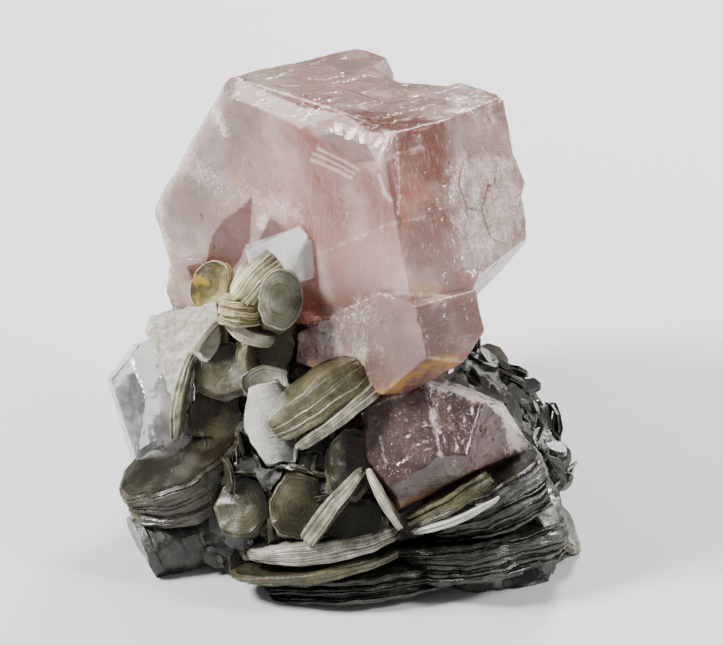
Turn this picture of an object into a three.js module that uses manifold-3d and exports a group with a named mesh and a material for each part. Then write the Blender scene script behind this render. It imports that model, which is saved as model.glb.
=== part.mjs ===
// Fluorapatite crystal on its muscovite mica matrix: a hand specimen about 48 mm wide,
// 48 mm deep and 46 mm high. A pale pink hexagonal crystal lies on its side on books of
// mica, with a second apatite, two clear quartz crystals and a feldspar crystal beside it.
import * as THREE from "three";
import { ConvexGeometry } from "three/addons/geometries/ConvexGeometry.js";
import { mergeVertices } from "three/addons/utils/BufferGeometryUtils.js";
import Module from "manifold-3d";

const wasm = await Module();
wasm.setup();

// Driving dimensions, in millimetres and degrees
const GAP = 0.3; // between neighbours that touch
const LOOK_DOWN = 30; // the specimen is drawn as seen from the front, this far above level
const CRYSTAL_DEPTH = 21.6; // main crystal, along its six-fold axis
const CRYSTAL_FRONT = 1.4; // from its top corner forward to the basal face
const CRYSTAL_EDGE = 21.7; // top edge of the basal face
const CRYSTAL_DROP = 22.5; // from its top face down to its bottom face
const MATRIX_CENTRE = new THREE.Vector3(0.5, 1.5, 5.5);
const MATRIX_RADII = new THREE.Vector3(20.5, 16.5, 12.5);
const MOUND_CENTRE = new THREE.Vector3(-1, 7, 14);
const MOUND_RADII = new THREE.Vector3(14, 11.5, 12);
const PLATE_CORNERS = 6;
const PLATE_RAGGED = 0.06; // how uneven a plate's outline is, as a share of its size
const PLATE_LAP = 1.06; // how far a plate reaches into the next one, as a share of its height
const PLATE_STEP = 0.88; // a smaller plate of a mica book against a larger one
const GROUND_SIZE = 120; // block under the rest face, wider than the specimen
const STAND = new THREE.Vector3(0.585, -4.418, 0); // moves the origin under the middle of the box

// Directions of the drawing: to the right, up the page and towards the eye
const tilt = THREE.MathUtils.degToRad(LOOK_DOWN);
const RIGHT = new THREE.Vector3(1, 0, 0);
const UP = new THREE.Vector3(0, Math.sin(tilt), Math.cos(tilt));
const NEAR = new THREE.Vector3(0, -Math.cos(tilt), Math.sin(tilt));

// A point or a direction of the drawing, as a vector in the object's own frame.
function seen([right, up, near]) {
  return new THREE.Vector3()
    .addScaledVector(RIGHT, right)
    .addScaledVector(UP, up)
    .addScaledVector(NEAR, near);
}

// A point or a direction in the object's own frame, as one of the drawing.
function drawn(x, y, z) {
  const vector = new THREE.Vector3(x, y, z);
  return [vector.dot(RIGHT), vector.dot(UP), vector.dot(NEAR)];
}

// A closed geometry as a solid that can be joined and cut.
function solidOf(geometry) {
  const bare = geometry.index ? geometry.toNonIndexed() : geometry.clone();
  bare.deleteAttribute("normal");
  bare.deleteAttribute("uv");
  const merged = mergeVertices(bare, 1e-3);
  return new wasm.Manifold(
    new wasm.Mesh({
      numProp: 3,
      vertProperties: merged.attributes.position.array,
      triVerts: new Uint32Array(merged.index.array),
    }),
  );
}

// The largest body of a solid: a cut can leave small chips behind.
function largest(solid) {
  const bodies = solid.decompose();
  return bodies.reduce((a, b) => (a.volume() > b.volume() ? a : b));
}

function joined(solids) {
  return solids.reduce((a, b) => a.add(b));
}

// The convex crystal inside a set of flat faces. Each face has an outward normal and its
// distance from the origin along it, and grow moves every face outwards.
function facetedSolid(faces, grow = 0) {
  const planes = faces.map(({ normal, distance }) => {
    const size = normal.length();
    return { n: normal.clone().divideScalar(size), d: distance / size + grow };
  });
  const corners = [];
  const inside = (p) => planes.every(({ n, d }) => n.dot(p) < d + 1e-6);
  for (let i = 0; i < planes.length; i++)
    for (let j = i + 1; j < planes.length; j++)
      for (let k = j + 1; k < planes.length; k++) {
        const [a, b, c] = [planes[i], planes[j], planes[k]];
        const bc = b.n.clone().cross(c.n);
        const volume = a.n.dot(bc);
        if (Math.abs(volume) < 1e-6) continue;
        const corner = bc
          .multiplyScalar(a.d)
          .addScaledVector(c.n.clone().cross(a.n), b.d)
          .addScaledVector(a.n.clone().cross(b.n), c.d)
          .divideScalar(volume);
        const known = corners.some((p) => p.distanceTo(corner) < 0.02);
        if (!known && inside(corner)) corners.push(corner);
      }
  return solidOf(new ConvexGeometry(corners));
}

// A face that passes through a point of the drawing.
function faceAt(point, direction) {
  const normal = seen(direction);
  return { normal, distance: normal.dot(seen(point)) };
}

function crystalAt(faces, grow) {
  return facetedSolid(
    faces.map(([point, direction]) => faceAt(point, direction)),
    grow,
  );
}

// Smooth repeatable unevenness, from -1 to 1, for rough surfaces and ragged outlines.
function unevenness(x, y, z, seed) {
  return (
    (Math.sin(1.7 * x + 2.3 * seed) +
      Math.sin(2.1 * y + 1.1 * x + 4.1 * seed) +
      Math.sin(1.9 * z - 1.3 * y + 0.7 * seed)) /
    3
  );
}

// A rough lump of rock: a ball drawn out to three radii, with bumps and hollows.
function roughLump(centre, radii, detail, roughness, seed) {
  const ball = new THREE.IcosahedronGeometry(1, detail);
  const positions = ball.attributes.position;
  const point = new THREE.Vector3();
  for (let i = 0; i < positions.count; i++) {
    point.fromBufferAttribute(positions, i);
    const bump = unevenness(3 * point.x, 3 * point.y, 3 * point.z, seed);
    const swell = 1 + roughness * bump;
    point.multiply(radii).multiplyScalar(swell).add(centre);
    positions.setXYZ(i, point.x, point.y, point.z);
  }
  return solidOf(ball);
}

// A book of mica: plates of a rounded six-sided outline, one on the other, larger and
// smaller by turns and each turned by its share of the fan. A grown book, which cuts its
// neighbours, is one plain plate round all of them.
function micaBook(book, grow = 0) {
  const { at, face, along, length, width, thick, fan = 0, seed = 1 } = book;
  const plates = grow > 0 ? 1 : (book.plates ?? 2);
  const spread = THREE.MathUtils.degToRad(fan);
  const height = thick + (grow > 0 ? length * spread + 2 * grow : 0);
  const normal = seen(face).normalize();
  const lengthways = seen(along);
  lengthways.addScaledVector(normal, -lengthways.dot(normal)).normalize();
  const sideways = normal.clone().cross(lengthways);
  const placed = new THREE.Matrix4().makeBasis(lengthways, sideways, normal);
  placed.setPosition(seen(at));
  const layer = height / plates;
  const hinge = new THREE.Matrix4().makeTranslation(-length / 2, 0, 0);
  const solids = [];
  for (let i = 0; i < plates; i++) {
    const size = i % 2 === 0 ? 1 : PLATE_STEP;
    const outline = new THREE.Shape();
    for (let k = 0; k < PLATE_CORNERS; k++) {
      const angle = ((k + 0.5) * 2 * Math.PI) / PLATE_CORNERS;
      const ragged = 1 + PLATE_RAGGED * Math.sin(3.7 * k + 1.9 * seed);
      const x = (size * ragged * length * Math.cos(angle)) / 2;
      const y = (size * ragged * width * Math.sin(angle)) / 2;
      const away = 1 + grow / Math.hypot(x, y);
      if (k === 0) outline.moveTo(x * away, y * away);
      else outline.lineTo(x * away, y * away);
    }
    outline.closePath();
    const plate = new THREE.ExtrudeGeometry(outline, {
      depth: layer * PLATE_LAP,
      bevelEnabled: false,
    });
    plate.translate(0, 0, -height / 2 + i * layer);
    if (plates > 1) {
      const turn = new THREE.Matrix4().makeRotationY(spread * (0.5 - i / (plates - 1)));
      plate.applyMatrix4(hinge.clone().multiply(turn).multiply(hinge.clone().invert()));
    }
    solids.push(solidOf(plate.applyMatrix4(placed)));
  }
  return joined(solids);
}

// Main crystal: axes of its hexagonal prism, drawn from its top front corner. ACROSS runs
// along the top edge of the basal face, DOWN is square to the top face and INTO follows
// the six-fold axis away from the eye.
const CORNER = seen([4.2, 38.4, 25.4]);
const ACROSS = seen([0.705, -0.27, 0.656]).normalize();
const INTO = seen([0.7, 0.19, -0.69]).normalize();
const DOWN = INTO.clone().cross(ACROSS).normalize();

function inCrystal([across, down, into]) {
  return new THREE.Vector3()
    .addScaledVector(ACROSS, across)
    .addScaledVector(DOWN, down)
    .addScaledVector(INTO, into);
}

function crystalFace([across, down, into], distance) {
  const normal = inCrystal([across, down, into]);
  return { normal, distance: distance + normal.dot(CORNER) };
}

// Prism faces by the angle of their outward normal round the six-fold axis, 90 upwards,
// with the distance from the corner and how deep the pyramid faces cut their edges.
const PRISM_FACES = [
  { angle: 90, distance: 0, frontCut: 1.05, backCut: 1.6 },
  { angle: 20, distance: 0, frontCut: 0.25, backCut: 3 },
  { angle: 330, distance: 14.2, frontCut: 0.3, backCut: 2 },
  { angle: 270, distance: CRYSTAL_DROP, frontCut: 0.3, backCut: 2.4 },
  { angle: 210, distance: 35.6, frontCut: 0.3, backCut: 1.5 },
  { angle: 150, distance: 0.8 + CRYSTAL_EDGE * Math.cos(Math.PI / 6), frontCut: 0.7, backCut: 2 },
];
const PYRAMID_SLOPE = THREE.MathUtils.degToRad(40.3); // pyramid face from the basal face
const BACK = CRYSTAL_DEPTH - CRYSTAL_FRONT;

function mainCrystalBody(grow) {
  const faces = [
    crystalFace([0, 0, -1], CRYSTAL_FRONT),
    crystalFace([0, 0, 1], BACK),
    crystalFace([0.926, -0.337, 0.21], 1.6), // rough right end turns away from the eye
    faceAt([17.7, 30, 0], [1, 0, 0]),
    faceAt([15.4, 26.3, 13], [0.7, -0.71, 0.1]),
  ];
  const across = Math.sin(PYRAMID_SLOPE);
  const along = Math.cos(PYRAMID_SLOPE);
  for (const { angle, distance, frontCut, backCut } of PRISM_FACES) {
    const turn = THREE.MathUtils.degToRad(angle);
    const [a, d] = [Math.cos(turn), -Math.sin(turn)];
    faces.push(crystalFace([a, d, 0], distance));
    const front = across * distance + along * CRYSTAL_FRONT - frontCut;
    faces.push(crystalFace([across * a, across * d, -along], front));
    const back = across * distance + along * BACK - backCut;
    faces.push(crystalFace([across * a, across * d, along], back));
  }
  return facetedSolid(faces, grow);
}

// The lower part grew on with its faces set a little further out.
function lowerStep(grow) {
  return facetedSolid(
    [
      crystalFace([0, 0, -1], 2.3),
      crystalFace([0, 0, 1], 6.2),
      crystalFace([0, -1, 0], -15.6),
      crystalFace([-0.568, -0.823, 0], -13.8),
      crystalFace([0.94, -0.342, 0], 1.2),
      crystalFace([0.687, 0.675, -0.27], 20.4),
      crystalFace([0.35, 0.75, 0.56], 21.1),
      crystalFace([0, 1, 0], 26),
      crystalFace([-1, 0, 0], 9),
    ],
    grow,
  );
}

// The crystal's foot, where it goes down into the mica behind the lower step.
const FOOT = [
  [[0, 25, 0], [0, 1, 0]],
  [[12.9, 24.4, 0], [0.9, -0.44, 0]],
  [[8, 20, 0], [-1, 0, 0]],
  [[0, 19.5, 0], [0, -1, 0]],
  [[11, 21, 21], [0.25, 0.1, 1]],
  [[0, 0, 14], [0, 0, -1]],
];

function crystalBox(low, high) {
  const size = high.map((h, i) => h - low[i]);
  const box = new THREE.BoxGeometry(...size);
  box.translate(...low.map((l, i) => l + size[i] / 2));
  const axes = new THREE.Matrix4().makeBasis(ACROSS, DOWN, INTO);
  box.applyMatrix4(axes.setPosition(CORNER));
  return solidOf(box);
}

// Where the top right end of the crystal is broken away: a block from its lowest corner
const SHELF_CUT = { corner: [14.9, -10, 42.2], size: [10, 40, 10] };

function mainCrystal(grow = 0) {
  let crystal = mainCrystalBody(grow).add(lowerStep(grow)).add(crystalAt(FOOT, grow));
  if (grow > 0) return crystal;
  // A broken notch in the back of the top, and the broken end of the block beside it.
  const notch = facetedSolid([
    crystalFace([-0.93, 0, -0.37], 10.6),
    crystalFace([-0.25, -0.1, -0.97], -9.8),
    crystalFace([0.6, 0.2, -0.77], -17.2),
    crystalFace([0.95, 0.1, 0.2], -4.4),
    crystalFace([0, 1, 0.3], 9.5),
    crystalFace([0, -1, 0], 2),
    crystalFace([0, 0, 1], BACK + 2),
  ]);
  crystal = crystal.subtract(notch);
  const [width, depth, height] = SHELF_CUT.size;
  const shelf = new THREE.BoxGeometry(width, depth, height);
  const [x, y, z] = SHELF_CUT.corner;
  shelf.translate(x + width / 2, y + depth / 2, z + height / 2);
  crystal = crystal.subtract(solidOf(shelf));
  // Thin growth steps on the top, left and back faces, from corner to corner.
  const steps = [
    [[-15, -0.35, 6.5], [-7, 0.4, 11.5]],
    [[-20, -0.3, 1.5], [-12, 0.4, 4.2]],
    [[-9, -0.3, 1.2], [-2.5, 0.4, 3.4]],
    [[-26, 11, 5], [-25.2, 18, 12]],
    [[-20, 8, BACK - 0.4], [-8, 17, BACK + 0.45]],
    [[-15, 12, BACK - 0.4], [-3, 19, BACK + 0.8]],
  ];
  for (const [low, high] of steps) crystal = crystal.add(crystalBox(low, high));
  return largest(crystal);
}

// Rough ledges on the right end, where the crystal grew against its neighbours.
const RIGHT_END = [0.83, 0.1, 0.56];
const LEDGES = [
  {
    at: [11.6, 33.4, 17.8], face: RIGHT_END, along: [0, 1, 0],
    length: 6.4, width: 4.4, thick: 1.6, seed: 2,
  },
  {
    at: [14.2, 30.6, 14.4], face: RIGHT_END, along: [0.2, 1, 0],
    length: 7.4, width: 6, thick: 2, seed: 5,
  },
  {
    at: [12.8, 27.4, 16.6], face: RIGHT_END, along: [0.3, 1, 0],
    length: 5.6, width: 4.6, thick: 1.6, seed: 3,
  },
  {
    at: [15.4, 33.8, 11.8], face: RIGHT_END, along: [0, 1, 0],
    length: 7, width: 6.4, thick: 1.4, seed: 7,
  },
  {
    at: [-15.8, 23.4, 4], face: [-0.5, -0.2, 0.85], along: [0, 1, 0],
    length: 6.4, width: 4.4, thick: 5, seed: 4,
  },
];

// Second apatite, low on the right: two broad faces, a blunt end and chamfers below
const LOWER_CRYSTAL = [
  [[5, 7, 20], [-0.33, 0.12, 0.93]],
  [[8.5, 9, 21], [0.3, 0.28, 0.91]],
  [[6.1, 13.9, 17], [-0.48, 0.86, 0.15]],
  [[10.3, 13.1, 17], [0.36, 0.92, 0.12]],
  [[16.5, 9.2, 14], [0.8, 0.55, 0.25]],
  [[15.3, 9, 16], [0.78, 0.02, 0.62]],
  [[13.1, 5, 16], [0.45, -0.88, 0.12]],
  [[9.5, 3, 18.4], [0.2, -0.62, 0.76]],
  [[1.6, 5.3, 16], [-0.8, -0.55, 0.2]],
  [[1.2, 8, 16], [-1, 0, 0.15]],
  [[1.8, 11.7, 16], [-0.85, 0.5, 0.1]],
  [[8, 8, 11.5], [0.1, -0.1, -1]],
];

// Clear quartz on the left, blocky feldspar behind the mica and a small quartz on top
const QUARTZ_LEFT = [
  [[-24.2, 14.1, 6], [-0.79, 0.6, 0.1]],
  [[-24.2, 14.1, 7], [-0.955, -0.28, 0.1]],
  [[-21.6, 17.5, 6], [-0.36, 0.93, 0.05]],
  [[-23.2, 12, 8.2], [-0.72, 0.05, 0.69]],
  [[-20, 14, 10.2], [-0.12, 0.42, 0.9]],
  [[-20, 10, 10.8], [-0.05, -0.08, 1]],
  [[-15.6, 10, 8], [1, 0, 0]],
  [[-20, 3.4, 8], [0.05, -1, 0]],
  [[-20, 12, 1.5], [0, 0, -1]],
];
const FELDSPAR = [
  [[-20, 17.5, 8], [-0.94, -0.33, 0.05]],
  [[-20.6, 18.3, 8], [-0.96, 0.26, 0.08]],
  [[-19.5, 20.2, 8], [-0.3, 0.94, 0.1]],
  [[-17, 16, 12], [-0.22, 0.12, 0.97]],
  [[-13, 18, 8], [1, 0.1, 0]],
  [[-17.2, 11.5, 8], [0.8, -0.6, 0.05]],
  [[-17, 16, 3.5], [0, 0, -1]],
];
const QUARTZ_TIP = [
  [[-5.4, 29.1, 17], [-0.41, 0.9, 0.1]],
  [[-4.7, 29, 17], [0.74, 0.66, 0.1]],
  [[-2.9, 27, 17], [0.97, -0.12, 0.2]],
  [[-4.6, 23.9, 17], [0.35, -0.93, 0.1]],
  [[-10.2, 26, 16], [-1, -0.2, 0]],
  [[-6.5, 27.2, 17], [-0.18, 0.3, 0.93]],
  [[-4, 26, 16.8], [0.5, -0.1, 0.86]],
  [[-6, 26, 12.6], [0.72, 0.17, -0.68]],
];

// Books of mica, by the node that they belong to
const MICA = {
  mica_rosette_top: [
    {
      at: [-14, 23.5, 9.4], face: [-0.45, 0.25, 0.86], along: [0.5, 0.86, 0],
      length: 6, width: 4.4, thick: 1.3, seed: 2,
    },
    {
      at: [-9.5, 24.2, 16.6], face: [-0.69, 0.7, 0.2], along: [0.72, 0.69, 0],
      length: 6.6, width: 6, thick: 2.2, plates: 3, fan: 12, seed: 3,
    },
    {
      at: [-8, 23.4, 17.6], face: [-0.6, 0.75, 0.3], along: [0.75, 0.62, 0],
      length: 5.2, width: 5, thick: 1.4, fan: 10, seed: 9,
    },
    {
      at: [-10.9, 21.2, 15.4], face: [0.05, 0.97, 0.25], along: [1, -0.15, 0],
      length: 5.4, width: 6.4, thick: 2.4, plates: 3, seed: 4,
    },
    {
      at: [-7, 22, 19], face: [0.12, 0.1, 1], along: [0.15, 1, 0],
      length: 6.8, width: 5, thick: 1.3, seed: 5,
    },
    {
      at: [-10, 18.6, 15.2], face: [0.37, 0.9, 0.25], along: [0.93, -0.37, 0],
      length: 6, width: 3.6, thick: 1.5, seed: 6,
    },
    {
      at: [-7, 21.4, 15], face: [0.2, 0.15, 1], along: [0.3, 1, 0],
      length: 6.4, width: 4.6, thick: 4.4, plates: 4, seed: 7,
    },
    {
      at: [-8, 18.6, 11], face: [0.2, 0, 1], along: [0, 1, 0],
      length: 9, width: 6, thick: 3, plates: 3, seed: 8,
    },
  ],
  mica_plate_round: [
    {
      at: [-12.4, 14.9, 12], face: [-0.1, 0.25, 0.96], along: [1, 0.05, 0],
      length: 7.6, width: 6.6, thick: 1.8, plates: 3, seed: 2,
    },
    {
      at: [-14.5, 18.4, 10.2], face: [-0.3, 0.1, 0.95], along: [0.3, 1, 0],
      length: 6.4, width: 5, thick: 1.4, seed: 3,
    },
    {
      at: [-9.8, 16, 12], face: [0.62, 0, 0.78], along: [0, 1, 0],
      length: 7.2, width: 3.8, thick: 1.8, plates: 3, seed: 4,
    },
  ],
  mica_blade_long: [
    {
      at: [-14.2, 18.7, 13], face: [0.76, -0.64, 0.1], along: [0.64, 0.76, 0],
      length: 5, width: 3.2, thick: 0.7, seed: 2,
    },
    {
      at: [-16.9, 12.4, 12.6], face: [0.97, -0.2, 0.15], along: [0.18, 0.98, 0],
      length: 10, width: 4.4, thick: 1.1, seed: 3,
    },
    {
      at: [-13.6, 10.2, 11], face: [0.15, 0.3, 0.95], along: [0.2, 1, 0],
      length: 7.2, width: 6.4, thick: 2, plates: 3, seed: 4,
    },
  ],
  mica_plate_hex: [
    {
      at: [-7.8, 9.6, 15.2], face: [-0.18, 0.1, 0.97], along: [-0.25, 1, 0],
      length: 10, width: 6, thick: 1.8, plates: 3, seed: 5,
    },
    {
      at: [-8.4, 13.6, 12.6], face: [0.1, 0.2, 1], along: [1, 0.2, 0],
      length: 6, width: 4, thick: 2, plates: 3, seed: 6,
    },
  ],
  mica_book_feather: [
    {
      at: [-3.3, 12.4, 18.4], face: [-0.56, 0.8, 0.22], along: [0.82, 0.57, 0.05],
      length: 12.4, width: 6.4, thick: 3.6, plates: 4, fan: 3, seed: 2,
    },
    {
      at: [-1.3, 10.3, 19.2], face: [-0.6, 0.78, 0.15], along: [0.78, 0.62, 0],
      length: 11.4, width: 4.4, thick: 1, fan: 3, seed: 3,
    },
  ],
  mica_rosette_left: [
    {
      at: [-16.6, 4.5, 11], face: [-0.34, 0.74, 0.58], along: [0.9, 0.42, 0],
      length: 14.6, width: 10.5, thick: 5, plates: 4, fan: 6, seed: 3,
    },
    {
      at: [-13, 6.6, 9], face: [-0.1, 0.7, 0.7], along: [0.9, 0.3, 0],
      length: 11, width: 8, thick: 3, plates: 3, seed: 5,
    },
  ],
  mica_book_lower_left: [
    {
      at: [-16.2, -1.2, 7.2], face: [0.91, 0.38, -0.1], along: [-0.3, 0.94, 0.1],
      length: 8.4, width: 10.5, thick: 10.5, plates: 4, seed: 4,
    },
  ],
  mica_plates_front: [
    {
      at: [-10.7, 1.2, 14.6], face: [-0.2, 0.15, 1], along: [0.1, 1, 0],
      length: 7, width: 6, thick: 2.6, plates: 3, seed: 3,
    },
    {
      at: [-5.4, 1.4, 15.8], face: [0.12, 0.1, 1], along: [0.2, 1, 0],
      length: 7.8, width: 6, thick: 2.6, plates: 3, seed: 4,
    },
    {
      at: [0, 5.5, 16.6], face: [0.1, 0.2, 1], along: [0.2, 1, 0],
      length: 8.6, width: 6, thick: 2.2, plates: 3, seed: 5,
    },
  ],
  mica_tent: [
    {
      at: [-1.5, 1.6, 19], face: [0.77, -0.63, 0.1], along: [0.63, 0.77, 0],
      length: 10.4, width: 5, thick: 1.2, fan: 5, seed: 2,
    },
    {
      at: [3.4, 2.2, 19.6], face: [0.87, 0.48, 0.1], along: [0.48, -0.87, 0],
      length: 7.8, width: 5, thick: 0.8, seed: 3,
    },
    {
      at: [0.6, 0.2, 16.8], face: [0, 0.25, 1], along: [1, 0, 0],
      length: 8, width: 6.4, thick: 1.6, seed: 4,
    },
  ],
  mica_stack_front: [
    {
      at: [-2.6, -2.5, 15.4], face: [-0.16, 0.96, 0.2], along: [0.97, 0.16, 0],
      length: 17.4, width: 8, thick: 1.8, plates: 3, fan: 2, seed: 3,
    },
    {
      at: [-3.4, -4.6, 14.4], face: [-0.14, 0.96, 0.25], along: [0.98, 0.14, 0],
      length: 19, width: 9, thick: 1.2, seed: 6,
    },
    {
      at: [1.6, -5.4, 11.8], face: [-0.1, 0.95, 0.3], along: [0.98, 0.1, 0],
      length: 23, width: 12, thick: 2.8, plates: 3, seed: 4,
    },
  ],
  mica_column_right: [
    {
      at: [18.9, 1.6, 12.6], face: [0.55, 0.1, 0.84], along: [-0.2, 1, 0],
      length: 6.4, width: 4, thick: 3, plates: 3, seed: 3,
    },
  ],
  mica_books_right: [
    {
      at: [9.9, 2, 17.4], face: [-0.5, 0.86, 0.1], along: [0.86, 0.5, 0],
      length: 11, width: 5, thick: 1.9, plates: 3, seed: 7,
    },
    {
      at: [10.6, 0.3, 18.8], face: [-0.38, 0.92, 0.1], along: [0.92, 0.38, 0],
      length: 10.4, width: 3.4, thick: 0.7, seed: 2,
    },
    {
      at: [13.4, 2.4, 13.4], face: [-0.32, 0.88, 0.34], along: [0.94, 0.33, 0],
      length: 16, width: 12, thick: 4, plates: 4, fan: 6, seed: 3,
    },
    {
      at: [12.6, -2.6, 11.4], face: [-0.14, 0.94, 0.3], along: [0.98, 0.14, 0],
      length: 21, width: 14, thick: 4, plates: 4, seed: 5,
    },
  ],
  mica_wedge_right: [
    {
      at: [20, -1.4, 7], face: [0.8, 0.5, 0.3], along: [-0.5, 0.86, 0],
      length: 8.4, width: 6.4, thick: 3.4, plates: 4, fan: 10, seed: 4,
    },
  ],
  mica_fan_back_right: [
    {
      at: drawn(14.5, 9.5, 7), face: drawn(0.55, 0.45, 0.7), along: drawn(0.6, -0.8, 0),
      length: 13, width: 10, thick: 4.2, plates: 4, fan: 6, seed: 2,
    },
    {
      at: drawn(8, 13.5, 11), face: drawn(0.3, 0.75, 0.55), along: drawn(1, -0.4, 0),
      length: 9, width: 7.4, thick: 3, plates: 3, seed: 3,
    },
    {
      at: drawn(18.6, 1.5, 6.5), face: drawn(0.75, 0.1, 0.65), along: drawn(0, 1, 0),
      length: 11, width: 6, thick: 3, plates: 3, seed: 6,
    },
  ],
  mica_fan_back_left: [
    {
      at: drawn(-12, 12.5, 6.5), face: drawn(-0.5, 0.5, 0.7), along: drawn(0.8, 0.6, 0),
      length: 14, width: 11, thick: 4, plates: 4, fan: 6, seed: 4,
    },
  ],
  mica_book_back_left: [
    {
      at: drawn(-13.5, 11, 14), face: drawn(-0.7, 0.55, 0.4), along: drawn(0.4, 0.6, 0.6),
      length: 9, width: 7, thick: 2.8, plates: 3, seed: 6,
    },
  ],
  mica_books_back: [
    {
      at: drawn(3, 16, 4.6), face: drawn(0.1, 0.3, 0.95), along: drawn(1, 0, 0),
      length: 17, width: 9, thick: 4, plates: 4, seed: 2,
    },
  ],
  mica_book_back_upper: [
    {
      at: drawn(-2.5, 17, 12.5), face: drawn(-0.15, 0.88, 0.42), along: drawn(1, 0.1, 0.2),
      length: 11, width: 8, thick: 3, plates: 3, seed: 5,
    },
    {
      at: drawn(2.5, 17, 14.6), face: drawn(0.25, 0.7, 0.6), along: drawn(0.9, -0.2, 0.3),
      length: 8, width: 5, thick: 2.4, plates: 3, seed: 7,
    },
  ],
};

function micaGroup(books, grow) {
  return joined(books.map((book) => micaBook(book, grow)));
}

// Rough mass of small mica flakes, quartz and feldspar that carries the crystals. It is
// flat underneath.
function matrix() {
  const low = roughLump(MATRIX_CENTRE, MATRIX_RADII, 3, 0.1, 2);
  const mound = roughLump(MOUND_CENTRE, MOUND_RADII, 2, 0.1, 5);
  const knobs = [
    [[15.5, 9.6, 1.5], [4.4, 3.6, 3.2]],
    [[12.6, 12.2, 0.5], [3, 2.4, 2.4]],
    [[14, -5, 9.5], [7, 3.4, 4.4]],
    [[19.4, 5.2, 4], [3.2, 3, 3.4]],
  ].map(([at, radii], i) =>
    roughLump(seen(at), new THREE.Vector3(...radii), 1, 0.16, i + 3),
  );
  return joined([low, mound, ...knobs]);
}

// Cuts away what lies under the flat rest face.
function aboveFloor(solid) {
  const ground = new THREE.BoxGeometry(GROUND_SIZE, GROUND_SIZE, GROUND_SIZE);
  ground.translate(0, 0, -GROUND_SIZE / 2);
  return solid.subtract(solidOf(ground));
}

const PINK = new THREE.MeshStandardMaterial({ color: 0xd9a59b, roughness: 0.25 });
const CLEAR = new THREE.MeshStandardMaterial({ color: 0xd5d6da, roughness: 0.1 });
const PALE = new THREE.MeshStandardMaterial({ color: 0xd8c9bd, roughness: 0.5 });
const SILVER = new THREE.MeshStandardMaterial({ color: 0x9a987e, roughness: 0.35 });
const DARK = new THREE.MeshStandardMaterial({ color: 0x5b5a50, roughness: 0.45 });

// Pieces from the most to the least complete: each gives way to those before it.
const PIECES = [
  {
    name: "fluorapatite_main",
    material: PINK,
    make: (grow = 0) => mainCrystal(grow).add(micaGroup(LEDGES, grow)),
  },
  { name: "fluorapatite_lower", material: PINK, make: (grow) => crystalAt(LOWER_CRYSTAL, grow) },
  { name: "quartz_tip", material: CLEAR, make: (grow) => crystalAt(QUARTZ_TIP, grow) },
  { name: "quartz_left", material: CLEAR, make: (grow) => crystalAt(QUARTZ_LEFT, grow) },
  { name: "feldspar_left", material: PALE, make: (grow) => crystalAt(FELDSPAR, grow) },
  ...Object.entries(MICA).map(([name, books]) => ({
    name,
    material: SILVER,
    make: (grow) => micaGroup(books, grow),
  })),
  { name: "matrix_rock", material: DARK, make: () => matrix() },
];

const specimen = new THREE.Group();
const taken = [];
for (const { name, material, make } of PIECES) {
  const whole = make(0);
  const cut = taken.reduce((solid, other) => solid.subtract(other), whole);
  const piece = largest(aboveFloor(cut));
  if (name !== "matrix_rock") taken.push(make(GAP));
  const { vertProperties, triVerts } = piece.getMesh();
  const geometry = new THREE.BufferGeometry();
  geometry.setAttribute("position", new THREE.BufferAttribute(vertProperties, 3));
  geometry.setIndex(new THREE.BufferAttribute(triVerts, 1));
  const mesh = new THREE.Mesh(geometry, material);
  mesh.name = name;
  specimen.add(mesh);
}
specimen.position.copy(STAND);

export default specimen;
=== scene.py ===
"""Fluorapatite crystal on a matrix of muscovite mica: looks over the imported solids."""

import math
import random

import bmesh
import bpy
import numpy as np
from mathutils import Matrix, Vector, noise


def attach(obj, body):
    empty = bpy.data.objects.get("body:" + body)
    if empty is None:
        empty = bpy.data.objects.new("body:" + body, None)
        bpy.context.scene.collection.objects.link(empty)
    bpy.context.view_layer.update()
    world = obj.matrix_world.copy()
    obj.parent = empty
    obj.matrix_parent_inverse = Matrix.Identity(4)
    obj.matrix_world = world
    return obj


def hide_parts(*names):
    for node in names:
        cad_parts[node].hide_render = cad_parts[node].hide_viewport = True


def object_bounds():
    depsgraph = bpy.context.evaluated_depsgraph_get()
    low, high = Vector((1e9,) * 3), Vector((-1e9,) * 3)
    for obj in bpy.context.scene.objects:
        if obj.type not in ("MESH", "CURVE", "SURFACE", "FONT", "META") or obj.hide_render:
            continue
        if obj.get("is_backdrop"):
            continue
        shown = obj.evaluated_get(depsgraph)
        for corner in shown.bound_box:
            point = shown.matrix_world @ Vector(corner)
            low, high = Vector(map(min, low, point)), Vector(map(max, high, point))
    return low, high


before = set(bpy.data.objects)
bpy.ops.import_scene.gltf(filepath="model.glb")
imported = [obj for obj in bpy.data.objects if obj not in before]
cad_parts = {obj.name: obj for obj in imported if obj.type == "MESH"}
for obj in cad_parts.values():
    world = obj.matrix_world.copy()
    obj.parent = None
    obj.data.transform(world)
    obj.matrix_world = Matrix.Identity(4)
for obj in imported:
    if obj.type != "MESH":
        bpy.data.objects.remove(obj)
cad_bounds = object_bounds()

# The drawing that the solids were laid out on: millimetres to the right, up the page and
# towards the eye, with the page tilted back. STAND takes it to the row's own origin.
MM = 0.001
STAND = Vector((0.585, -4.418, 0))
TILT = math.radians(30)
RIGHT = Vector((1, 0, 0))
UP = Vector((0, math.sin(TILT), math.cos(TILT)))
NEAR = Vector((0, -math.cos(TILT), math.sin(TILT)))


def seen(direction):
    """A direction of the drawing in the row's axes."""
    right, up, near = direction
    return RIGHT * right + UP * up + NEAR * near


def place(point):
    """A point of the drawing, in metres in the row's frame."""
    return (seen(point) + STAND) * MM


def drawn(x, y, z):
    """A point or direction of the row's axes, before STAND, as one of the drawing."""
    v = Vector((x, y, z))
    return v.dot(RIGHT), v.dot(UP), v.dot(NEAR)


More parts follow.
